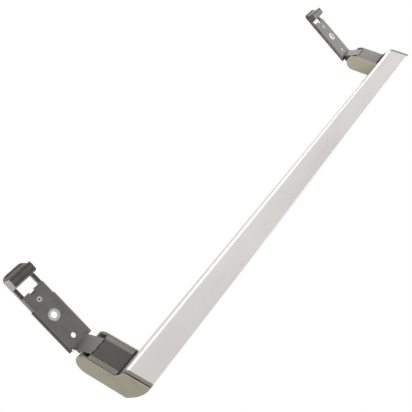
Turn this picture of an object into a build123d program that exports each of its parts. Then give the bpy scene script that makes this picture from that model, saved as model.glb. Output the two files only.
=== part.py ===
from build123d import *
import os
from math import acos, atan2, cos, degrees, hypot, radians, sin

# Frame: the origin is the centre of the lower bracket's main hole, on the face that lies on the door's side.
# +Z runs up along the bar, +Y runs back along the side of the door, and +X points away from that side.
# The door fills the space at negative X and positive Y. All sizes are in millimetres.

# Distance between the main holes of the two brackets
bracket_spacing = 510.0

# Bracket sheet. The plate sits a little nearer to the middle of the pull than its holes and its tongue.
sheet = 1.2
bend_inner_radius = 0.8
bracket_half_width = 12.1
flange_depth = 2.8
narrow_half_width = 10.5
plate_shift = 1.1
plate_front_y = -26.5
plate_corner_overhang = 1.4
wide_end_y = 12.0
plate_rear_y = 24.0
plate_corner_radius = 1.0
end_notch_half_width = 2.4
end_notch_depth = 2.6

# Holes along the middle of the bracket
small_hole_y = -20.4
small_hole_radius = 2.05
rivet_y = 15.3

# Tongue that goes round the front corner of the door
tongue_half_width = 7.9
tongue_turn = 57.0
tongue_length = 18.4
tongue_notch_depth = 2.6
tongue_notch_width = 0.9
ear_radius = 4.5

# Hinge
hinge_x = -7.2
hinge_y = -41.0
pin_radius = 2.0
pin_press = 0.02
pin_running = 0.05
pin_end_gap = 0.2

# Bushing in the main hole, flush with the sheet and countersunk for the screw's head
bushing_radius = 4.65
bushing_fit = 0.02
bushing_hole_radius = 2.6
bushing_countersink = 0.5

# Hollow rivet, its head sunk into the plate so that the plate lies flat on the door
rivet_shank_radius = 1.4
rivet_bore_radius = 0.75
rivet_fit = 0.05
rivet_head_radius = 2.05
rivet_head_depth = 0.65
rivet_washer_radius = 2.9
rivet_washer_height = 0.7

# Arm: a channel of constant depth with a full round knuckle
arm_turn = 34.0
knuckle_radius = 8.9
tongue_side_gap = 0.3
arm_wall = 3.7
seam_gap = 0.5
cover_wall = 1.4
cover_clearance = 0.1
cover_edge = 0.5
fill_inset = 0.5
web_thickness = 2.1
panel_ledge = 1.0
channel_start = 7.0
channel_end = 22.0
pocket_depth = 3.0
pocket_mouth = 9.0
pocket_throat = 3.7
pocket_throat_length = 1.2
pocket_turn = -110.0

# Nose on the knuckle that drives the pusher
nose_reach = 9.8
nose_rise = 2.0
nose_radius = 1.4
nose_root = 4.5
nose_half_width = 4.5

# Panel in the back of the arm
panel_start = 1.7
panel_end = 25.0
panel_thickness = 1.2
panel_side_gap = 0.12
panel_end_gap = 0.2
panel_clip_start = 12.0
panel_clip_thickness = 1.0
panel_clip_height = 3.2
panel_clip_length = 6.0

# Bar
bar_centre_x = -37.0
bar_front_y = -77.8
bar_half_width = 17.1
bar_depth = 20.4
bar_crown = 2.3
bar_top_half_width = 4.3
bar_shoulder_radius = 5.0
bar_tip_radius = 0.9
bar_wall = 1.8
bar_fit = 0.15

# Collar and spigot that carry the end of the bar
groove_width = 1.0
collar_thickness = 2.4
spigot_length = 26.0
spigot_root = 0.2

# Screw through the arm into the bar
screw_radius = 2.0
screw_clearance = 0.15
screw_thread_fit = 0.05
screw_length = 16.0
screw_thread_grip = 4.0
screw_tip_gap = 0.5
screw_head_radius = 3.6
screw_head_height = 2.6
screw_recess_radius = 1.65
screw_recess_depth = 1.4

# Pusher
pusher_gap = 0.3
pusher_thickness = 2.5
pusher_side_gap = 0.25
pusher_travel = 4.15
pusher_free_play = 4.15
window_half_width = 7.6
cross_bar_margin = 1.4
front_bar_y = -27.2
front_bar_end_y = -31.0
tail_half_width = 5.0
tail_gap = 0.3
head_start_y = 28.05
head_length = 8.2
head_rise = 6.6
head_lip = 3.7
head_slope_start = 3.0
head_slope_run = 0.8
head_ridge = 0.6
head_ridge_start = 3.7
head_ridge_end = 5.2
head_step = 2.7
head_fall_swell = 1.1
head_edge = 0.6
head_corner_radius = 4.5

# Torsion spring
spring_wire_radius = 0.45
spring_coil_radius = 2.95
spring_wire_sides = 6
spring_pitch = 1.5
spring_turns = 2
spring_contact_gap = 0.1
spring_leg_on_tongue = 7.5
spring_leg_on_web = 13.0

# Values that follow from the ones above
wall_inner = tongue_half_width + tongue_side_gap
wall_outer = wall_inner + arm_wall
channel_inner = wall_inner - panel_ledge
cover_inner = wall_outer + seam_gap
arm_half_width = cover_inner + cover_wall
bar_start = cover_inner - groove_width - collar_thickness
rim_out = -knuckle_radius
web_outer = knuckle_radius - cover_wall - cover_clearance
web_inner = web_outer - web_thickness
channel_depth_start = rim_out + panel_thickness
pusher_front = sheet + pusher_gap
pusher_back = pusher_front + pusher_thickness
crown_radius = (bar_half_width**2 + bar_crown**2) / (2 * bar_crown)
bar_back_y = bar_front_y + bar_depth

# How far cutting shapes run past the faces that they open, and a length beyond any of the pull's sections
past = 1.0
far = 200.0

# The arm's own frame: x runs from the hinge axis to the bar, y points outwards, z is the frame's z.
arm_frame = Plane(
    origin=(hinge_x, hinge_y, 0),
    x_dir=(-sin(radians(arm_turn)), -cos(radians(arm_turn)), 0),
    z_dir=(0, 0, 1),
)

# The tongue's own frame: x runs along its door-side face from the bend, y points to the inside of the arm.
tongue_frame = Plane(
    origin=(0, plate_front_y, 0),
    x_dir=(-sin(radians(tongue_turn)), -cos(radians(tongue_turn)), 0),
    z_dir=(0, 0, 1),
)


def prism(sketch, low, high):
    """Extrudes a sketch that lies parallel to XY from z = low to z = high."""
    return extrude(Pos(0, 0, low) * sketch, amount=high - low, dir=(0, 0, 1))


def block(low, high):
    """A box between two corners."""
    size = [h - l for l, h in zip(low, high)]
    middle = [(h + l) / 2 for l, h in zip(low, high)]
    return Pos(*middle) * Box(*size)


def area(low, high):
    """A flat rectangle between two corners."""
    middle = [(h + l) / 2 for l, h in zip(low, high)]
    return Pos(*middle) * Rectangle(high[0] - low[0], high[1] - low[1])


def in_arm(along, out):
    """A point of the arm's frame as x and y of the part's frame."""
    point = arm_frame.from_local_coords(Vector(along, out, 0))
    return point.X, point.Y


def along_x(y, radius, start, end):
    """A cylinder along X from start to end."""
    return extrude(Plane.YZ.offset(start) * Pos(y, 0) * Circle(radius), amount=end - start)


def cone_along_x(y, start_radius, end_radius, height):
    """A cone along X that starts at x = 0."""
    at_start = (Align.CENTER, Align.CENTER, Align.MIN)
    return Plane.YZ * Pos(y, 0) * Cone(start_radius, end_radius, height, align=at_start)


def bar_corners():
    """The corners of the bar's section: front right, front left, back left, back right."""
    edge_y = bar_front_y + bar_crown
    return [
        (bar_centre_x + bar_half_width, edge_y),
        (bar_centre_x - bar_half_width, edge_y),
        (bar_centre_x - bar_top_half_width, bar_back_y),
        (bar_centre_x + bar_top_half_width, bar_back_y),
    ]


def bar_outline():
    """The outer section of the bar."""
    front_right, front_left, back_left, back_right = bar_corners()
    crown = ThreePointArc(front_right, (bar_centre_x, bar_front_y), front_left)
    sides = Polyline(front_left, back_left, back_right, front_right)
    section = make_face(crown + sides)
    tips = section.vertices().filter_by_position(Axis.Y, bar_front_y, bar_front_y + bar_crown + 0.1)
    section = fillet(tips, bar_tip_radius)
    shoulders = section.vertices().filter_by_position(Axis.Y, bar_back_y - 0.1, bar_back_y + 0.1)
    return fillet(shoulders, bar_shoulder_radius)


def front_disc():
    """A disc whose edge is the bar's crowned front, wide enough to hold the whole pull."""
    return Pos(bar_centre_x, bar_front_y + crown_radius) * Circle(crown_radius)


def arm_outline(outer):
    """The arm's side outline, from the round knuckle to the front of the bar."""
    body = area((0, rim_out), (far, outer))
    knuckle = Circle(knuckle_radius) & area((-far, rim_out), (0, far))
    return (arm_frame * (body + knuckle)) & front_disc()


def end_outline():
    """The outline of the wall that closes the bar's end and the side of the arm in one piece."""
    rim_end = in_arm(panel_end - fill_inset, rim_out + fill_inset)
    top = (bar_centre_x, bar_back_y - fill_inset)
    low = (bar_centre_x, bar_front_y + bar_depth / 2)
    fill = make_face(Polyline(top, rim_end, low, close=True))
    outline = arm_outline(knuckle_radius) + bar_outline() + fill
    return outline


def grip_bar():
    """The hollow bar between the two collars, with a hole for each arm's screw."""
    outer = bar_outline()
    inner = offset(bar_outline(), amount=-bar_wall, kind=Kind.INTERSECTION)
    solid = prism(outer - inner, -bar_start, bracket_spacing + bar_start)
    for z in (0, bracket_spacing):
        hole = screw_tool(screw_radius + screw_clearance, channel_end, channel_end + screw_length)
        solid -= Pos(0, 0, z) * hole
    return solid


def screw_tool(radius, start, end):
    """A cylinder on the arm's middle line, from one distance to another."""
    line = Plane(origin=arm_frame.from_local_coords((start, 0, 0)), z_dir=arm_frame.x_dir)
    return extrude(line * Circle(radius), amount=end - start)


def arm():
    """The arm: knuckle walls, channel, nose, collar and spigot in one casting."""
    body = prism(arm_outline(web_outer), -wall_outer, wall_outer)
    body -= prism(offset(bar_outline(), amount=cover_clearance), -bar_start, far)
    body -= prism(bar_outline(), -far, -bar_start)

    # The hinge end is open between the walls, down to the curved web that carries the nose
    hinge_room = area((-far, -far), (channel_start, web_inner))
    body -= prism(arm_frame * hinge_room, -wall_inner, wall_inner)
    channel = area((channel_start - past, channel_depth_start), (channel_end, web_inner))
    body -= prism(arm_frame * channel, -channel_inner, channel_inner)
    panel_seat = area((channel_start - past, -far), (panel_end + panel_end_gap, channel_depth_start))
    body -= prism(arm_frame * panel_seat, -wall_inner, wall_inner)

    # Bores that turn on the pin, and the pockets that lead it in
    bore_end = wall_inner + pocket_depth
    body -= prism(arm_frame * Circle(pin_radius + pin_running), -bore_end, bore_end)
    throat_end = pin_radius + pocket_throat_length
    mouth = Polyline(
        (0, pocket_throat / 2),
        (throat_end, pocket_throat / 2),
        (knuckle_radius + past, pocket_mouth / 2),
        (knuckle_radius + past, -pocket_mouth / 2),
        (throat_end, -pocket_throat / 2),
        (0, -pocket_throat / 2),
        close=True,
    )
    pocket = arm_frame * Rot(0, 0, pocket_turn) * make_face(mouth)
    body -= prism(pocket, wall_inner - past, bore_end)
    body -= prism(pocket, -bore_end, -wall_inner + past)

    nose_tip = Vector(hinge_x + nose_reach, hinge_y + nose_rise, 0)
    tip = arm_frame.to_local_coords(nose_tip)
    nose = Pos(tip.X, tip.Y) * Circle(nose_radius)
    nose += area((tip.X, tip.Y - nose_radius), (tip.X + nose_root, tip.Y + nose_radius))
    body += prism(arm_frame * nose, -nose_half_width, nose_half_width)

    collar = prism(bar_outline(), -bar_start - collar_thickness, -bar_start)
    inner = offset(bar_outline(), amount=-bar_wall - bar_fit, kind=Kind.INTERSECTION)
    spigot = prism(inner, -bar_start - spigot_root, -bar_start + spigot_length)
    body += collar + spigot
    screw_end = channel_end + screw_length
    body -= screw_tool(screw_radius + screw_clearance, channel_end - past, screw_end - screw_thread_grip)
    body -= screw_tool(screw_radius + screw_thread_fit, channel_end, screw_end + screw_tip_gap)
    return body


def bevelled_wall(outline, inside, outside):
    """A wall between two heights, its outline bevelled on the outside."""
    way = 1 if outside > inside else -1
    bevel_start = outside - way * cover_edge
    wall = prism(outline, min(inside, bevel_start), max(inside, bevel_start))
    small = offset(outline, amount=-cover_edge)
    return wall + loft([Pos(0, 0, bevel_start) * outline.face(), Pos(0, 0, outside) * small.face()])


def arm_cover():
    """The shell round the arm: an inner wall, the outer web and the wall that closes the bar's end."""
    shell = bevelled_wall(end_outline(), -cover_inner, -arm_half_width)
    clear_of_bar = offset(bar_outline(), amount=2 * cover_clearance)
    shell += bevelled_wall(arm_outline(knuckle_radius) - clear_of_bar, cover_inner, arm_half_width)
    web = arm_frame * area((cover_clearance, knuckle_radius - cover_wall), (far, knuckle_radius))
    shell += prism((web & front_disc()) - clear_of_bar, -cover_inner, cover_inner)
    return shell


def arm_panel():
    """The plate that closes the channel, with a clip on each side that grips the channel's walls."""
    half = wall_inner - panel_side_gap
    outline = area((panel_start, rim_out), (panel_end, rim_out + panel_thickness))
    plate = prism(arm_frame * outline, -half, half)
    clip_end = panel_clip_start + panel_clip_length
    clip_low = rim_out + panel_thickness
    clip = arm_frame * area((panel_clip_start, clip_low), (clip_end, rim_out + panel_clip_height))
    outer = channel_inner - panel_side_gap
    plate += prism(clip, outer - panel_clip_thickness, outer)
    plate += prism(clip, -outer, -outer + panel_clip_thickness)
    return plate


def arm_screw():
    """Pan-head screw with a hexagon recess, seated at the end of the channel."""
    head = screw_tool(screw_head_radius, channel_end - screw_head_height, channel_end)
    shank = screw_tool(screw_radius, channel_end, channel_end + screw_length)
    recess_plane = Plane(
        origin=arm_frame.from_local_coords((channel_end - screw_head_height, 0, 0)), z_dir=arm_frame.x_dir
    )
    recess = extrude(recess_plane * RegularPolygon(screw_recess_radius, 6), amount=screw_recess_depth)
    return head + shank - recess


def bracket():
    """The folded sheet: flanged plate, tongue and two ears with the pin holes."""
    outer_radius = bend_inner_radius + sheet
    section = area((0, -bracket_half_width), (flange_depth, bracket_half_width))
    edges = section.vertices().group_by(Axis.X)[0]
    section = fillet(edges, outer_radius)
    room = area((sheet, -bracket_half_width + sheet), (far, bracket_half_width - sheet))
    room = fillet(room.vertices().group_by(Axis.X)[0], bend_inner_radius)
    channel = section - room
    wide_start_y = plate_front_y - plate_corner_overhang
    to_middle = Pos(0, 0, plate_shift)
    wide = to_middle * extrude(Plane.XZ.offset(-wide_end_y) * channel, amount=wide_end_y - wide_start_y)

    narrow = area((wide_end_y - past, -narrow_half_width), (plate_rear_y, narrow_half_width))
    narrow = fillet(narrow.vertices().group_by(Axis.X)[-1], plate_corner_radius)
    notch_low = (plate_rear_y - end_notch_depth, -end_notch_half_width - plate_shift)
    narrow -= area(notch_low, (far, end_notch_half_width - plate_shift))
    plate = wide + to_middle * extrude(Plane.YZ * narrow, amount=sheet)

    # The tongue leaves the plate through a bend between two notches
    turn = radians(tongue_turn)
    run = Polyline(
        (0, 0),
        (0, plate_front_y),
        (-tongue_length * sin(turn), plate_front_y - tongue_length * cos(turn)),
    )
    corner = run.vertices().filter_by_position(Axis.Y, plate_front_y - 0.1, plate_front_y + 0.1)
    run = fillet(corner, outer_radius)
    strip = make_face(offset(run, amount=sheet, side=Side.LEFT))
    if strip.bounding_box().max.X < sheet / 2:
        strip = make_face(offset(run, amount=sheet, side=Side.RIGHT))
    notch_end = wide_start_y + tongue_notch_depth
    notch_side = tongue_half_width + tongue_notch_width
    notch = block((-far, wide_start_y - past, tongue_half_width), (far, notch_end, notch_side))
    plate -= notch
    plate -= mirror(notch, about=Plane.XY)
    plate -= block((-far, -far, -tongue_half_width), (far, plate_front_y + outer_radius, tongue_half_width))
    tongue = prism(strip, -tongue_half_width, tongue_half_width)
    body = plate + tongue

    # Ears run from the tongue to the hinge axis
    hinge = tongue_frame.to_local_coords(Vector(hinge_x, hinge_y, 0))
    ear = Pos(hinge.X, hinge.Y) * Circle(ear_radius)
    ear += area((hinge.X - ear_radius, sheet / 2), (hinge.X + ear_radius, hinge.Y))
    body += prism(tongue_frame * ear, tongue_half_width - sheet, tongue_half_width)
    body += prism(tongue_frame * ear, -tongue_half_width, -tongue_half_width + sheet)
    body -= prism(Pos(hinge_x, hinge_y) * Circle(pin_radius + pin_press), -far, far)

    body -= along_x(0, bushing_radius + bushing_fit, -far, far)
    body -= along_x(small_hole_y, small_hole_radius, -far, far)
    rivet_hole_radius = rivet_shank_radius + rivet_fit
    body -= along_x(rivet_y, rivet_hole_radius, -far, far)
    body -= cone_along_x(rivet_y, rivet_head_radius + rivet_fit, rivet_hole_radius, rivet_head_depth)
    return body


def bushing():
    """The bright ring in the main hole, countersunk on the side away from the door."""
    ring = along_x(0, bushing_radius, 0, sheet)
    ring -= along_x(0, bushing_hole_radius, -far, far)
    mouth = ring.edges().filter_by(GeomType.CIRCLE).group_by(Axis.X)[-1].sort_by(SortBy.RADIUS)[0]
    return chamfer(mouth, bushing_countersink)


def rivet():
    """Hollow rivet: a sunk head on the door side, and a washer head that holds the pusher to the plate."""
    washer_start = pusher_back + pusher_gap
    body = along_x(rivet_y, rivet_shank_radius, 0, washer_start)
    body += cone_along_x(rivet_y, rivet_head_radius, rivet_shank_radius, rivet_head_depth)
    body += along_x(rivet_y, rivet_washer_radius, washer_start, washer_start + rivet_washer_height)
    return body - along_x(rivet_y, rivet_bore_radius, -far, far)


def hinge_pin():
    """Plain pin, pressed into the ears, whose ends turn in the arm's walls."""
    half = wall_inner + pocket_depth - pin_end_gap
    return prism(Pos(hinge_x, hinge_y) * Circle(pin_radius), -half, half)


def pusher():
    """The slide behind the plate: a frame with a tail by the nose, a rivet slot and a raised head."""
    outer = bracket_half_width - sheet - pusher_side_gap
    rear_y = head_start_y + head_length + head_lip
    tail_end = hinge_y + nose_rise + nose_radius + tail_gap
    slot_half = rivet_shank_radius + pusher_gap
    slot_start = rivet_y - pusher_travel - pusher_free_play
    cross_low = slot_start - slot_half - cross_bar_margin
    cross_high = rivet_y + slot_half + cross_bar_margin
    outline = area((front_bar_end_y, -outer), (rear_y, outer))
    outline = fillet(outline.vertices().group_by(Axis.X)[-1], head_corner_radius)
    frame = outline - area((front_bar_y, -window_half_width), (head_start_y, window_half_width))
    frame += area((cross_low, -window_half_width), (cross_high, window_half_width))
    frame = Pos(0, plate_shift) * frame + area((tail_end, -tail_half_width), (front_bar_y, tail_half_width))
    slot = area((slot_start, -slot_half), (rivet_y, slot_half))
    slot += Pos(slot_start, 0) * Circle(slot_half) + Pos(rivet_y, 0) * Circle(slot_half)
    body = extrude(Plane.YZ.offset(pusher_front) * (frame - slot), amount=pusher_thickness)

    # Head: a slope on the window's side, a ridge along the top, and a curved fall to the rear lip
    top_end_y = head_start_y + head_length
    front = Polyline(
        (pusher_front, top_end_y),
        (pusher_front, head_start_y),
        (-head_slope_start, head_start_y),
        (-head_rise + head_ridge, head_start_y + head_slope_run),
        (-head_rise + head_ridge, head_start_y + head_ridge_start),
        (-head_rise, head_start_y + head_ridge_end),
        (-head_rise + head_ridge, top_end_y),
    )
    fall = Line((-head_rise + head_ridge, top_end_y), (-head_step, top_end_y))
    swell = (0, top_end_y + head_fall_swell)
    rear = ThreePointArc((-head_step, top_end_y), swell, (pusher_front, rear_y - head_edge))
    base = Line((pusher_front, rear_y - head_edge), (pusher_front, top_end_y))
    head = prism(make_face(front + fall + rear + base), -outer, outer)
    head &= extrude(Plane.YZ.offset(-head_rise) * outline, amount=head_rise + pusher_front)
    return body + Pos(0, 0, plate_shift) * head


def tangent_point(outside, turn):
    """The point of the spring's mean circle whose tangent passes through a point, and its angle."""
    distance = hypot(outside.X, outside.Y)
    angle = atan2(outside.Y, outside.X) + turn * acos(spring_coil_radius / distance)
    return Vector(spring_coil_radius * cos(angle), spring_coil_radius * sin(angle), 0), angle


def torsion_spring():
    """Wire spring on the pin: one leg under the tongue, the other on the arm's web."""
    hinge = tongue_frame.to_local_coords(Vector(hinge_x, hinge_y, 0))
    under = tongue_frame.from_local_coords(
        (hinge.X - spring_leg_on_tongue, sheet + spring_wire_radius + spring_contact_gap, 0)
    )
    leg_out = web_inner - spring_wire_radius - spring_contact_gap
    on_web = arm_frame.from_local_coords((spring_leg_on_web, leg_out, 0))
    axis = Vector(hinge_x, hinge_y, 0)
    start, start_angle = tangent_point(under - axis, 1)
    end, end_angle = tangent_point(on_web - axis, -1)
    turn = (degrees(end_angle - start_angle) % 360) / 360 + spring_turns
    height = turn * spring_pitch
    coil_path = Helix(pitch=spring_pitch, height=height, radius=spring_coil_radius)
    coil_start = Plane(origin=coil_path @ 0, z_dir=coil_path % 0)
    section = coil_start * RegularPolygon(spring_wire_radius, spring_wire_sides)
    coil = sweep(section, path=coil_path, is_frenet=True)
    coil = Pos(hinge_x, hinge_y, -height / 2) * Rot(0, 0, degrees(start_angle)) * coil
    legs = []
    for bend, tip, z in ((start, under - axis, -height / 2), (end, on_web - axis, height / 2)):
        way = tip - bend
        line = Plane(origin=axis + bend + Vector(0, 0, z), z_dir=way)
        legs.append(extrude(line * Circle(spring_wire_radius), amount=way.length))
    return coil + legs[0] + legs[1]


makers = {
    "bracket": bracket,
    "bushing": bushing,
    "rivet": rivet,
    "pusher": pusher,
    "hinge_pin": hinge_pin,
    "torsion_spring": torsion_spring,
    "arm": arm,
    "arm_cover": arm_cover,
    "arm_panel": arm_panel,
    "arm_screw": arm_screw,
}

os.makedirs("parts", exist_ok=True)
export_step(grip_bar(), "parts/grip_bar.step")
for name, make in makers.items():
    lower = make()
    upper = Pos(0, 0, bracket_spacing) * mirror(lower, about=Plane.XY)
    if name == "pusher":
        lower = Pos(0, pusher_free_play, 0) * lower
    export_step(lower, f"parts/lower_{name}.step")
    export_step(upper, f"parts/upper_{name}.step")
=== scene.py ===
import logging
import math
from dataclasses import dataclass, field
from enum import Enum

import bmesh
import bpy
from mathutils import Matrix, Vector


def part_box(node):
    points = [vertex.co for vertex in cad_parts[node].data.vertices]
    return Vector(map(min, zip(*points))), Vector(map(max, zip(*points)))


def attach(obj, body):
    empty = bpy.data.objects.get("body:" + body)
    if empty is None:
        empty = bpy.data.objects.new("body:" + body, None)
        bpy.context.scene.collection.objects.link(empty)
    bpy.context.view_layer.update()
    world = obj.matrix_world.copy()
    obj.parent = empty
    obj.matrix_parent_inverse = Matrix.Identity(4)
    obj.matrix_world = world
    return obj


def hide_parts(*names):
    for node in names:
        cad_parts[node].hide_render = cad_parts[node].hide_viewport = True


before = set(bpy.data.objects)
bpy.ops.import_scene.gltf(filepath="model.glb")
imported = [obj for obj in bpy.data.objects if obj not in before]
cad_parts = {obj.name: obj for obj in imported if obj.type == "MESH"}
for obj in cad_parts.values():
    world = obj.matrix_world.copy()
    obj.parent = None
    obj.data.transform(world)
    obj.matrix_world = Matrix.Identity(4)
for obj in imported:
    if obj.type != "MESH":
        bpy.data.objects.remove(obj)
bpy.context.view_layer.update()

MM = 0.001
# Points closer than this are one point, in a turned piece and in a copy of a node's mesh.
TURNED_WELD_MM = 0.001
COPIED_WELD_MM = 0.0005
# The sRGB curve: straight up to its bend, then a shifted power.
FULL_BYTE = 255
SRGB_BEND = 0.04045
SRGB_SLOPE = 12.92
SRGB_SHIFT = 0.055
SRGB_POWER = 2.4
# The numbers of the Mix node's sockets where it mixes colours.
MIX_SHARE, MIX_FROM, MIX_TO, MIX_RESULT = 0, 6, 7, 2

Pair = tuple[float, float]
Triple = tuple[float, float, float]
Tree = bpy.types.NodeTree
Socket = bpy.types.NodeSocket
Material = bpy.types.Material
log = logging.getLogger("door_pull")


class End(Enum):
    """The two ends of the pull."""

    LOWER = "lower"
    UPPER = "upper"


def linear(code: str) -> tuple[float, float, float, float]:
    """Turns an sRGB hex colour into linear RGBA.

    Args:
        code: the colour as six hex digits.

    Returns:
        The linear colour with full alpha.
    """
    channels = [int(code[i:i + 2], 16) / FULL_BYTE for i in (0, 2, 4)]
    out = [
        c / SRGB_SLOPE if c <= SRGB_BEND else ((c + SRGB_SHIFT) / (1 + SRGB_SHIFT)) ** SRGB_POWER
        for c in channels
    ]
    return (*out, 1.0)


def add(
    tree: Tree,
    kind: str,
    settings: dict[str | int, object] | None = None,
    links: dict[str | int, Socket] | None = None,
    stops: tuple[tuple[float, str], ...] = (),
) -> bpy.types.Node:
    """Adds a node with its settings and links.

    Args:
        tree: the tree that gets the node.
        kind: the node's type name.
        settings: values for the node's sockets, by name or number, or for its own properties.
        links: output sockets of earlier nodes, by the name or number of the input they feed.
        stops: for a colour ramp, its places from 0 to 1 with their sRGB hex colours.

    Returns:
        The new node.
    """
    node = tree.nodes.new(kind)
    for key, value in (settings or {}).items():
        if isinstance(key, str) and hasattr(node, key):
            setattr(node, key, value)
        else:
            node.inputs[key].default_value = value
    for key, socket in (links or {}).items():
        tree.links.new(socket, node.inputs[key])
    if stops:
        for element, (place, code) in zip(node.color_ramp.elements, stops):
            element.position = place
            element.color = linear(code)
    return node


@dataclass(frozen=True)
class Finish:
    """What every finish shares: two tones that drift into each other, soft edges and a relief.

    Lengths are the real ones in millimetres, unless a comment says that they are drawn coarser.
    """

    name: str
    tones: tuple[str, str]
    grain_mm: Triple
    grain_detail: float = 3.0
    drift_mm: Triple = (9.0, 9.0, 9.0)
    drift_detail: float = 2.0
    # The cloud values at which the first and the second tone are pure.
    drift_span: Pair = (0.35, 0.65)
    layer_strength: float = 0.6
    edge_mm: float = 0.35
    edge_samples: int = 6
    # The cosines between the rounded and the flat normal where the paler edge colour (wear and
    # painted highlight) starts and where it is full.
    edge_span: Pair = (0.998, 0.96)
    relief_mm: float = 0.02
    relief_strength: float = 0.2
    roughness: float = 0.5
    rough_reach: float = 0.05
    # The noise values that give the least and the greatest roughness.
    rough_span: Pair = (0.25, 0.75)

    def start(self) -> tuple[Material, Tree, Socket, Socket]:
        """Makes an empty material with its coordinates, and rounds its edges for the light.

        Returns:
            The material, its tree, the coordinates in metres in the frame of the pull, and the
            normal with the edges rounded.
        """
        material = bpy.data.materials.new(self.name)
        material.use_nodes = True
        tree = material.node_tree
        tree.nodes.clear()
        place = add(tree, "ShaderNodeTexCoord").outputs["Object"]
        bevel = {"samples": self.edge_samples, "Radius": self.edge_mm * MM}
        return material, tree, place, add(tree, "ShaderNodeBevel", bevel).outputs["Normal"]

    def noise(self, tree: Tree, place: Socket, size_mm: Triple, detail: float) -> Socket:
        """Noise whose features have a given size along each axis.

        Args:
            tree: the material's tree.
            place: the coordinates, in metres.
            size_mm: the size of a feature along X, Y and Z.
            detail: how many finer layers it has.

        Returns:
            The noise value.
        """
        scale = tuple(1.0 / (size * MM) for size in size_mm)
        mapped = add(tree, "ShaderNodeMapping", {"Scale": scale}, {"Vector": place})
        settings = {"Scale": 1.0, "Detail": detail, "Roughness": self.layer_strength}
        links = {"Vector": mapped.outputs["Vector"]}
        return add(tree, "ShaderNodeTexNoise", settings, links).outputs["Fac"]

    def drifting(self, tree: Tree, place: Socket) -> tuple[Socket, Socket]:
        """The two tones in broad soft clouds.

        Args:
            tree: the material's tree.
            place: the coordinates, in metres.

        Returns:
            The clouds' value and their colour.
        """
        cloud = self.noise(tree, place, self.drift_mm, self.drift_detail)
        stops = tuple(zip(self.drift_span, self.tones))
        ramp = add(tree, "ShaderNodeValToRGB", links={"Fac": cloud}, stops=stops)
        return cloud, ramp.outputs["Color"]

    def edge_wear_and_highlight(self, tree: Tree, base: Socket, soft: Socket, code: str, patches: Socket) -> Socket:
        """Lets a paler colour show in patches along the edges: wear, and on some finishes a painted
        highlight where light catches the edge.

        Args:
            tree: the material's tree.
            base: the colour away from the edges.
            soft: the rounded normal, which leaves the flat one near an edge.
            code: the paler edge colour, as six hex digits.
            patches: noise that breaks the paler edge up.

        Returns:
            The mixed colour.
        """
        sharp = add(tree, "ShaderNodeNewGeometry").outputs["Normal"]
        agree = add(tree, "ShaderNodeVectorMath", {"operation": "DOT_PRODUCT"}, {0: soft, 1: sharp})
        flat, edge = self.edge_span
        span = {"From Min": flat, "From Max": edge, "To Min": 0.0, "To Max": 1.0}
        mask = add(tree, "ShaderNodeMapRange", span, {"Value": agree.outputs["Value"]})
        factors = {0: mask.outputs["Result"], 1: patches}
        share = add(tree, "ShaderNodeMath", {"operation": "MULTIPLY"}, factors).outputs[0]
        settings = {"data_type": "RGBA", MIX_TO: linear(code)}
        mixed = add(tree, "ShaderNodeMix", settings, {MIX_SHARE: share, MIX_FROM: base})
        return mixed.outputs[MIX_RESULT]

    def close(
        self,
        tree: Tree,
        settings: dict[str | int, object],
        colour: Socket,
        cloud: Socket,
        height: Socket,
        soft: Socket,
    ) -> None:
        """Adds the relief, the drifting roughness, the shader and the material's output.

        Args:
            tree: the material's tree.
            settings: the shader values that are the same all over.
            colour: the base colour.
            cloud: noise that varies the roughness.
            height: the relief, from 0 to 1.
            soft: the rounded normal.
        """
        span = {
            "From Min": self.rough_span[0],
            "From Max": self.rough_span[1],
            "To Min": self.roughness - self.rough_reach,
            "To Max": self.roughness + self.rough_reach,
        }
        rough = add(tree, "ShaderNodeMapRange", span, {"Value": cloud}).outputs["Result"]
        bump = {"Strength": self.relief_strength, "Distance": self.relief_mm * MM}
        relief = add(tree, "ShaderNodeBump", bump, {"Height": height, "Normal": soft})
        links = {"Base Color": colour, "Roughness": rough, "Normal": relief.outputs["Normal"]}
        shader = add(tree, "ShaderNodeBsdfPrincipled", settings, links)
        add(tree, "ShaderNodeOutputMaterial", links={"Surface": shader.outputs[0]})


@dataclass(frozen=True)
class AnodisedAluminium(Finish):
    """Aluminium, extruded, brushed lengthwise and anodised: satin silver with faint long lines."""

    tones: tuple[str, str] = ("C8C4C2", "CECAC7")
    # The real brush lines are about 0.05 mm apart, too fine to show, so they are drawn 0.6 mm
    # apart and faint.
    grain_mm: Triple = (0.6, 0.6, 180.0)
    grain_detail: float = 2.0
    drift_mm: Triple = (30.0, 30.0, 120.0)
    edge_mm: float = 0.6
    relief_mm: float = 0.01
    relief_strength: float = 0.02
    roughness: float = 0.34
    rough_reach: float = 0.02
    brushing: float = 0.3

    def material(self) -> Material:
        """Builds the node tree.

        Returns:
            The material.
        """
        material, tree, place, soft = self.start()
        cloud, base = self.drifting(tree, place)
        lines = self.noise(tree, place, self.grain_mm, self.grain_detail)
        metal = {"Metallic": 1.0, "Anisotropic": self.brushing}
        self.close(tree, metal, base, cloud, lines, soft)
        return material


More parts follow.
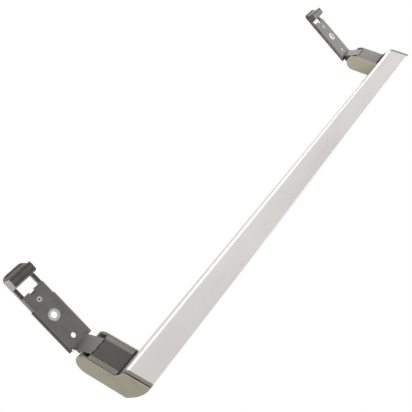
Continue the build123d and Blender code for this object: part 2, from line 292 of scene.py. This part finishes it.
@dataclass(frozen=True)
class MouldedPlastic(Finish):
    """ABS or nylon from a spark-eroded mould: matt, fine grain, with wear and painted highlight on
    edges.
    """

    tones: tuple[str, str] = ("A19A86", "A8A18E")
    # A spark-eroded mould leaves a grain of about 0.1 mm, drawn 0.45 mm wide so that it shows.
    grain_mm: Triple = (0.45, 0.45, 0.45)
    drift_mm: Triple = (11.0, 11.0, 11.0)
    relief_strength: float = 0.3
    # The paler edge colour: rubbing wear, and a painted highlight on rounded edges.
    rubbed_and_highlit_edge: str = "C2BDAF"
    ior: float = 1.53
    sheen: float = 0.0

    def material(self) -> Material:
        """Builds the node tree.

        Returns:
            The material.
        """
        material, tree, place, soft = self.start()
        flow, base = self.drifting(tree, place)
        grain = self.noise(tree, place, self.grain_mm, self.grain_detail)
        # Paler edges: rubbing wear, and a painted highlight along the edges.
        colour = self.edge_wear_and_highlight(tree, base, soft, self.rubbed_and_highlit_edge, flow)
        resin = {"IOR": self.ior, "Sheen Weight": self.sheen}
        self.close(tree, resin, colour, grain, grain, soft)
        return material


@dataclass(frozen=True)
class FloorPaint(MouldedPlastic):
    """Resin paint rolled on the studio's floor: pale and matt, with a faint broad drift."""

    tones: tuple[str, str] = ("EDEDEC", "F1F1F0")
    grain_mm: Triple = (3.0, 3.0, 3.0)
    drift_mm: Triple = (90.0, 90.0, 90.0)
    roughness: float = 0.7
    rubbed_and_highlit_edge: str = "F1F1F0"


@dataclass(frozen=True)
class ZincPlatedSteel(Finish):
    """Cold-rolled steel, stamped, folded and black-zinc passivated: dull dark grey, faint grain."""

    tones: tuple[str, str] = ("5F5D5A", "656360")
    # Rolling lines are about 0.1 mm apart, drawn 0.6 mm apart so that they show.
    grain_mm: Triple = (0.6, 14.0, 0.6)
    # Zinc's own crystals are far below a millimetre here, and the eye sees soft clouds.
    drift_mm: Triple = (6.0, 9.0, 6.0)
    edge_mm: float = 0.25
    relief_mm: float = 0.01
    relief_strength: float = 0.15
    roughness: float = 0.44
    rough_reach: float = 0.04
    # Pale edges: bare metal at the cut edges, and a painted highlight along the folded flanges.
    cut_edge_and_highlight: str = "D6D6D2"

    def material(self) -> Material:
        """Builds the node tree.

        Returns:
            The material.
        """
        material, tree, place, soft = self.start()
        clouds, base = self.drifting(tree, place)
        grain = self.noise(tree, place, self.grain_mm, self.grain_detail)
        # Paler edges: bare cut metal, and a painted highlight on the flanges.
        colour = self.edge_wear_and_highlight(tree, base, soft, self.cut_edge_and_highlight, clouds)
        self.close(tree, {"Metallic": 1.0}, colour, clouds, grain, soft)
        return material


@dataclass(frozen=True)
class PaintedZincCasting(Finish):
    """Die-cast zinc, stove painted: an even satin coat, slight orange peel, thin on the edges."""

    tones: tuple[str, str] = ("7B766C", "827D73")
    # The orange peel of such a coat really is about a millimetre across.
    grain_mm: Triple = (1.1, 1.1, 1.1)
    grain_detail: float = 2.0
    relief_strength: float = 0.25
    roughness: float = 0.42
    thin: str = "A8A49A"
    ior: float = 1.5
    coat_weight: float = 0.15
    coat_roughness: float = 0.3

    def material(self) -> Material:
        """Builds the node tree.

        Returns:
            The material.
        """
        material, tree, place, soft = self.start()
        cloud, base = self.drifting(tree, place)
        peel = self.noise(tree, place, self.grain_mm, self.grain_detail)
        colour = self.edge_wear_and_highlight(tree, base, soft, self.thin, peel)
        paint = {
            "IOR": self.ior,
            "Coat Weight": self.coat_weight,
            "Coat Roughness": self.coat_roughness,
        }
        self.close(tree, paint, colour, cloud, peel, soft)
        return material


@dataclass(frozen=True)
class TurnedMetal(Finish):
    """Steel, turned or drawn and nickel plated: bright, with fine tool marks across its axis."""

    tones: tuple[str, str] = ("979C97", "A8ADA8")
    # The feed marks of the turning tool are about 0.1 mm apart, drawn 0.3 mm apart so that they
    # show.
    grain_mm: Triple = (0.3, 3.0, 3.0)
    drift_mm: Triple = (1.5, 1.5, 1.5)
    edge_mm: float = 0.15
    roughness: float = 0.48
    rough_reach: float = 0.06

    def material(self) -> Material:
        """Builds the node tree.

        Returns:
            The material.
        """
        material, tree, place, soft = self.start()
        cloud, base = self.drifting(tree, place)
        marks = self.noise(tree, place, self.grain_mm, self.grain_detail)
        self.close(tree, {"Metallic": 1.0}, base, cloud, marks, soft)
        return material


@dataclass
class Finishes:
    """The finishes of this pull, each built once."""

    bar: Material = field(init=False)
    casting: Material = field(init=False)
    cover: Material = field(init=False)
    panel: Material = field(init=False)
    pusher: Material = field(init=False)
    sheet: Material = field(init=False)
    ring: Material = field(init=False)
    wire: Material = field(init=False)
    dark: Material = field(init=False)

    def __post_init__(self) -> None:
        """Builds every material."""
        self.bar = AnodisedAluminium("anodised_aluminium_satin").material()
        self.casting = PaintedZincCasting("painted_zinc_casting_warm_grey").material()
        self.cover = MouldedPlastic("moulded_abs_warm_grey", edge_mm=0.6).material()
        self.panel = MouldedPlastic(
            "moulded_abs_slate",
            tones=("2A2720", "312E27"),
            rubbed_and_highlit_edge="77746C",
            roughness=0.38,
            sheen=0.8,
        ).material()
        self.pusher = MouldedPlastic(
            "moulded_nylon_olive_grey",
            tones=("2A271B", "343023"),
            # The near-white edge colour paints the highlight lines along the head's ridges and
            # edges.
            rubbed_and_highlit_edge="E0DCC8",
            roughness=0.36,
            sheen=0.1,
        ).material()
        self.sheet = ZincPlatedSteel("black_zinc_sheet_steel").material()
        self.ring = TurnedMetal("turned_nickel_plated_steel").material()
        self.wire = TurnedMetal(
            "drawn_spring_wire", edge_mm=0.1, tones=("77766F", "8D8C86"), roughness=0.35
        ).material()
        # The mandrel is a real part of such a rivet; its near-black tone paints the shade in the
        # rivet's bore.
        self.dark = TurnedMetal(
            "blued_mandrel_steel", edge_mm=0.1, tones=("201F1D", "2C2B28"), roughness=0.5
        ).material()


def coat(mesh: bpy.types.Mesh, material: Material) -> None:
    """Makes a finish the only one on a mesh."""
    mesh.materials.clear()
    mesh.materials.append(material)


def dress(coats: dict[str, Material]) -> list[str]:
    """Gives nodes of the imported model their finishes.

    Args:
        coats: the finish of each node, by the node's name.

    Returns:
        The names of the nodes.
    """
    for node, material in coats.items():
        coat(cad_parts[node].data, material)
    return list(coats)


def in_scene(name: str, data: bpy.types.ID) -> bpy.types.Object:
    """Makes an object and links it to the scene.

    Args:
        name: the object's name.
        data: its mesh, lamp or camera.

    Returns:
        The new object.
    """
    thing = bpy.data.objects.new(name, data)
    bpy.context.scene.collection.objects.link(thing)
    return thing


def new_piece(name: str, work: bmesh.types.BMesh, material: Material) -> bpy.types.Object:
    """Turns a bmesh into a smooth-shaded object.

    Args:
        name: the piece's name.
        work: the mesh, in metres in the frame of the pull; it is freed.
        material: the finish.

    Returns:
        The new object.
    """
    mesh = bpy.data.meshes.new(name)
    for face in work.faces:
        face.smooth = True
    work.to_mesh(mesh)
    work.free()
    coat(mesh, material)
    return in_scene(name, mesh)


def centre_of(node: str) -> Vector:
    """The middle of a node's box, at the box's lowest X."""
    low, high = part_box(node)
    return Vector((low[0], (low[1] + high[1]) / 2, (low[2] + high[2]) / 2))


def join_rows(
    work: bmesh.types.BMesh, first: list[bmesh.types.BMVert], second: list[bmesh.types.BMVert]
) -> None:
    """Fills the band between two closed rows of as many points.

    Args:
        work: the mesh that gets the faces.
        first: the points of one row.
        second: the points of the other row.
    """
    count = len(first)
    for i in range(count):
        j = (i + 1) % count
        work.faces.new((first[i], first[j], second[j], second[i]))


def lathe(profile_mm: list[Pair], centre: Vector, steps: int) -> bmesh.types.BMesh:
    """Turns a closed profile about a line along X.

    Args:
        profile_mm: the profile's points as radius and place along X, in millimetres.
        centre: a point of the line whose X is where the profile's X is 0, in metres.
        steps: how many flats the circle has.

    Returns:
        The turned mesh.
    """
    work = bmesh.new()
    rings = []
    for step in range(steps):
        angle = 2 * math.pi * step / steps
        across = Vector((0.0, math.cos(angle), math.sin(angle)))
        points = [centre + (across * r + Vector((x, 0, 0))) * MM for r, x in profile_mm]
        rings.append([work.verts.new(point) for point in points])
    for step, ring in enumerate(rings):
        join_rows(work, ring, rings[(step + 1) % steps])
    bmesh.ops.remove_doubles(work, verts=work.verts, dist=TURNED_WELD_MM * MM)
    bmesh.ops.recalc_face_normals(work, faces=work.faces)
    return work


def cut_copy(
    name: str, node: str, tool: bmesh.types.BMesh, material: Material
) -> bpy.types.Object:
    """Makes a piece from a node's own mesh with a shape cut out of it.

    Args:
        name: the new piece's name.
        node: the node whose mesh is copied.
        tool: the closed shape to cut out, in metres; it is freed.
        material: the finish.

    Returns:
        The new piece, flat shaded as the node is.
    """
    work = bmesh.new()
    work.from_mesh(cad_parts[node].data)
    bmesh.ops.remove_doubles(work, verts=work.verts, dist=COPIED_WELD_MM * MM)
    whole = new_piece(f"{name}_whole", work, material)
    cutter = new_piece(f"{name}_cutter", tool, material)
    cut = whole.modifiers.new("groove", "BOOLEAN")
    cut.operation = "DIFFERENCE"
    cut.solver = "EXACT"
    cut.object = cutter
    bpy.context.view_layer.update()
    result = whole.evaluated_get(bpy.context.evaluated_depsgraph_get())
    mesh = bpy.data.meshes.new_from_object(result)
    for spare in (whole, cutter):
        bpy.data.objects.remove(spare, do_unlink=True)
    for face in mesh.polygons:
        face.use_smooth = False
    coat(mesh, material)
    return in_scene(name, mesh)


@dataclass
class GripBar:
    """The long hollow bar."""

    finishes: Finishes

    def build(self) -> list[str]:
        """Dresses the bar and returns its name."""
        return dress({"grip_bar": self.finishes.bar})


@dataclass
class Arm:
    """One arm with its cover, panel and hidden screw.

    The groove is the dark gap between the panel's end and the bar. Its corners are given along
    the arm from the hinge axis and outwards from the arm's middle line, and it runs through both
    rims.
    """

    end: End
    finishes: Finishes
    hinge_mm: Pair = (-7.2, -41.0)
    turn_deg: float = 34.0
    groove_mm: tuple[Pair, ...] = ((25.3, -9.9), (25.3, -5.4), (30.1, -5.4), (28.5, -9.9))
    groove_half_width_mm: float = 13.0

    def build(self) -> list[str]:
        """Cuts the groove and dresses the arm's nodes.

        Returns:
            The names of the pieces that are ready.
        """
        side = self.end.value
        body = cut_copy(
            f"{side}_arm_casting", f"{side}_arm", self.groove(), self.finishes.casting
        )
        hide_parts(f"{side}_arm")
        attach(body, "lever")
        coats = {
            f"{side}_arm_cover": self.finishes.cover,
            f"{side}_arm_panel": self.finishes.panel,
            f"{side}_arm_screw": self.finishes.ring,
        }
        return [body.name, *dress(coats)]

    def groove(self) -> bmesh.types.BMesh:
        """Makes the closed shape that the groove takes out of the casting.

        Returns:
            The shape, in metres in the frame of the pull.
        """
        turn = math.radians(self.turn_deg)
        along = Vector((-math.sin(turn), -math.cos(turn), 0.0))
        out = Vector((math.cos(turn), -math.sin(turn), 0.0))
        hole = centre_of(f"{self.end.value}_bushing")
        hinge = Vector((self.hinge_mm[0] * MM, self.hinge_mm[1] * MM, hole.z))
        work = bmesh.new()
        rows = []
        for level in (-self.groove_half_width_mm, self.groove_half_width_mm):
            up = Vector((0.0, 0.0, level))
            corners = [hinge + (along * a + out * o + up) * MM for a, o in self.groove_mm]
            rows.append([work.verts.new(corner) for corner in corners])
        for row in rows:
            work.faces.new(row)
        join_rows(work, *rows)
        bmesh.ops.recalc_face_normals(work, faces=work.faces)
        return work


@dataclass
class Bracket:
    """One bracket with its turned ring and its hollow rivet, whose mandrel's near-black end paints
    the bore's shade.
    """

    end: End
    finishes: Finishes
    sheet_mm: float = 1.2
    ring_outer_mm: float = 4.65
    ring_inner_mm: float = 2.6
    ring_countersink_mm: float = 0.5
    ring_edge_mm: float = 0.16
    # How far in the middle of a rounded edge lies, as a share of its radius.
    ring_edge_bow: float = 0.3
    ring_steps: int = 72
    mandrel_radius_mm: float = 0.74
    mandrel_depth_mm: float = 0.5
    mandrel_length_mm: float = 3.0
    mandrel_dome_mm: float = 0.25
    # Where the dome bends, as shares of the mandrel's radius and of the dome's height.
    mandrel_bend: Pair = (0.6, 0.2)
    mandrel_steps: int = 32

    def build(self) -> list[str]:
        """Makes the ring and the mandrel, and dresses the bracket's nodes.

        Returns:
            The names of the pieces that are ready.
        """
        side = self.end.value
        coats = {
            f"{side}_bracket": self.finishes.sheet,
            f"{side}_rivet": self.finishes.ring,
        }
        dressed = dress(coats)
        turned = lathe(self.ring_profile(), centre_of(f"{side}_bushing"), self.ring_steps)
        ring = new_piece(f"{side}_turned_ring", turned, self.finishes.ring)
        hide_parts(f"{side}_bushing")
        broken = lathe(self.mandrel_profile(), centre_of(f"{side}_rivet"), self.mandrel_steps)
        # The near-black mandrel paints the shade inside the rivet's bore.
        mandrel = new_piece(f"{side}_rivet_mandrel", broken, self.finishes.dark)
        for piece in (ring, mandrel):
            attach(piece, "mounting")
        return [*dressed, ring.name, mandrel.name]

    def ring_profile(self) -> list[Pair]:
        """Draws the ring's section, rounded outside and countersunk away from the door.

        Returns:
            Its points as radius and place along X, in millimetres.
        """
        inner, outer, top = self.ring_inner_mm, self.ring_outer_mm, self.sheet_mm
        edge, sink = self.ring_edge_mm, self.ring_countersink_mm
        bow = self.ring_edge_bow * edge
        return [
            (inner, edge),
            (inner + bow, bow),
            (inner + edge, 0.0),
            (outer - edge, 0.0),
            (outer - bow, bow),
            (outer, edge),
            (outer, top - edge),
            (outer - bow, top - bow),
            (outer - edge, top),
            (inner + sink, top),
            (inner, top - sink),
        ]

    def mandrel_profile(self) -> list[Pair]:
        """Draws the section of the broken-off mandrel in the rivet's bore, with a domed end.

        Returns:
            Its points as radius and place along X, in millimetres.
        """
        start, end = self.mandrel_depth_mm, self.mandrel_depth_mm + self.mandrel_length_mm
        radius, dome = self.mandrel_radius_mm, self.mandrel_dome_mm
        out, rise = self.mandrel_bend
        return [
            (0.0, start),
            (out * radius, start + rise * dome),
            (radius, start + dome),
            (radius, end),
            (0.0, end),
        ]


@dataclass
class Hinge:
    """One hinge pin with its torsion spring."""

    end: End
    finishes: Finishes

    def build(self) -> list[str]:
        """Dresses the pin and the spring.

        Returns:
            The names of the pieces that are ready.
        """
        side = self.end.value
        coats = {
            f"{side}_hinge_pin": self.finishes.ring,
            f"{side}_torsion_spring": self.finishes.wire,
        }
        return dress(coats)


@dataclass
class Pusher:
    """One slide with its raised head."""

    end: End
    finishes: Finishes

    def build(self) -> list[str]:
        """Dresses the slide and returns its name."""
        return dress({f"{self.end.value}_pusher": self.finishes.pusher})


@dataclass(frozen=True)
class Softbox:
    """One soft lamp: a lit rectangle that faces a point.

    Lengths and places are in metres, and its power is in watts.
    """

    name: str
    place: Triple
    target: Triple
    width: float
    height: float
    power: float

    def build(self) -> str:
        """Adds the lamp.

        Returns:
            The lamp's name.
        """
        data = bpy.data.lights.new(self.name, "AREA")
        data.shape = "RECTANGLE"
        data.size = self.width
        data.size_y = self.height
        data.energy = self.power
        lamp = in_scene(self.name, data)
        lamp.location = self.place
        aim = Vector(self.target) - Vector(self.place)
        lamp.rotation_euler = aim.to_track_quat("-Z", "Y").to_euler()
        lamp.visible_camera = False
        return lamp.name


@dataclass
class Studio:
    """The plain pale room: floor, world, soft lamps and the camera of the photograph.

    Lengths are in metres where a name has no unit.
    """

    camera_place_mm: Triple = (-450.85, 35.94, -212.61)
    camera_forward: Triple = (0.75266, -0.10620, 0.64979)
    camera_right: Triple = (-0.53887, -0.66643, 0.51526)
    focal_px: float = 667.4
    photo_px: float = 412.0
    sensor_mm: float = 36.0
    clip_start: float = 0.01
    room_light: float = 0.60
    seen_light: float = 1.0
    floor_z: float = -0.62
    floor_half_width: float = 40.0
    floor_paint: FloorPaint = FloorPaint("painted_studio_floor")
    # Each lamp's name, place, target, width, height and power.
    softboxes: tuple[Softbox, ...] = (
        Softbox("top_softbox", (-0.50, -0.18, 1.23), (0.0, 0.0, 0.51), 0.7, 0.7, 3.3),
        Softbox("side_softbox", (-0.9, -0.9, 0.1), (0.0, -0.04, 0.2), 0.9, 0.9, 2.6),
        Softbox("back_softbox", (0.04, 0.88, 0.72), (0.0, -0.04, 0.25), 0.24, 1.0, 3.4),
        Softbox("upper_back_softbox", (0.15, 0.42, 1.32), (0.0, -0.03, 0.51), 0.3, 0.3, 0.75),
        Softbox("far_end_fill", (-0.5, -0.1, 0.0), (-0.42, -0.1, 0.6), 0.3, 0.3, 2.4),
        Softbox("low_rim_softbox", (0.50, 0.10, -0.26), (0.0, 0.01, 0.25), 0.24, 0.2, 0.8),
    )

    def build(self) -> list[str]:
        """Makes the whole room.

        Returns:
            The names of its pieces.
        """
        pieces = [self.make_camera(), self.make_world(), self.make_floor()]
        pieces += [softbox.build() for softbox in self.softboxes]
        bpy.context.scene.view_settings.view_transform = "Standard"
        return pieces

    def make_camera(self) -> str:
        """Places the camera where the photograph was taken from.

        Returns:
            The camera's name.
        """
        forward = Vector(self.camera_forward).normalized()
        right = Vector(self.camera_right)
        right = (right - forward * right.dot(forward)).normalized()
        up = right.cross(forward)
        data = bpy.data.cameras.new("photo_camera")
        data.sensor_width = self.sensor_mm
        data.lens = self.focal_px / self.photo_px * self.sensor_mm
        data.clip_start = self.clip_start
        camera = in_scene("photo_camera", data)
        turn = Matrix((right, up, -forward)).transposed()
        place = Matrix.Translation(Vector(self.camera_place_mm) * MM)
        camera.matrix_world = place @ turn.to_4x4()
        bpy.context.scene.camera = camera
        return camera.name

    def make_world(self) -> str:
        """Lights evenly from all round, and shows plain white to the camera and in reflections.

        Returns:
            The world's name.
        """
        world = bpy.data.worlds.new("plain_white_room")
        world.use_nodes = True
        tree = world.node_tree
        tree.nodes.clear()
        rays = add(tree, "ShaderNodeLightPath").outputs
        either = {"operation": "MAXIMUM"}
        direct = {0: rays["Is Camera Ray"], 1: rays["Is Transmission Ray"]}
        clear = add(tree, "ShaderNodeMath", either, direct)
        mirrored = {0: clear.outputs[0], 1: rays["Is Glossy Ray"]}
        seen = add(tree, "ShaderNodeMath", either, mirrored)
        white = linear("FFFFFF")
        strengths = (self.room_light, self.seen_light)
        lit, shown = (
            add(tree, "ShaderNodeBackground", {"Color": white, "Strength": strength})
            for strength in strengths
        )
        ends = {0: seen.outputs[0], 1: lit.outputs[0], 2: shown.outputs[0]}
        mix = add(tree, "ShaderNodeMixShader", links=ends)
        add(tree, "ShaderNodeOutputWorld", links={"Surface": mix.outputs[0]})
        bpy.context.scene.world = world
        return world.name

    def make_floor(self) -> str:
        """Lays a wide pale floor below the pull.

        Returns:
            The floor's name.
        """
        work = bmesh.new()
        bmesh.ops.create_grid(work, x_segments=2, y_segments=2, size=self.floor_half_width)
        bmesh.ops.translate(work, vec=(0, 0, self.floor_z), verts=work.verts)
        floor = new_piece("floor", work, self.floor_paint.material())
        return floor.name


def main() -> None:
    """Builds the pull and its room in order, and reports each piece."""
    logging.basicConfig(level=logging.INFO, format="%(message)s")
    finishes = Finishes()
    groups = [GripBar(finishes)]
    for end in End:
        groups += [kind(end, finishes) for kind in (Arm, Bracket, Hinge, Pusher)]
    for group in (*groups, Studio()):
        for name in group.build():
            log.info("%s is ready", name)


if __name__ == "__main__":
    main()
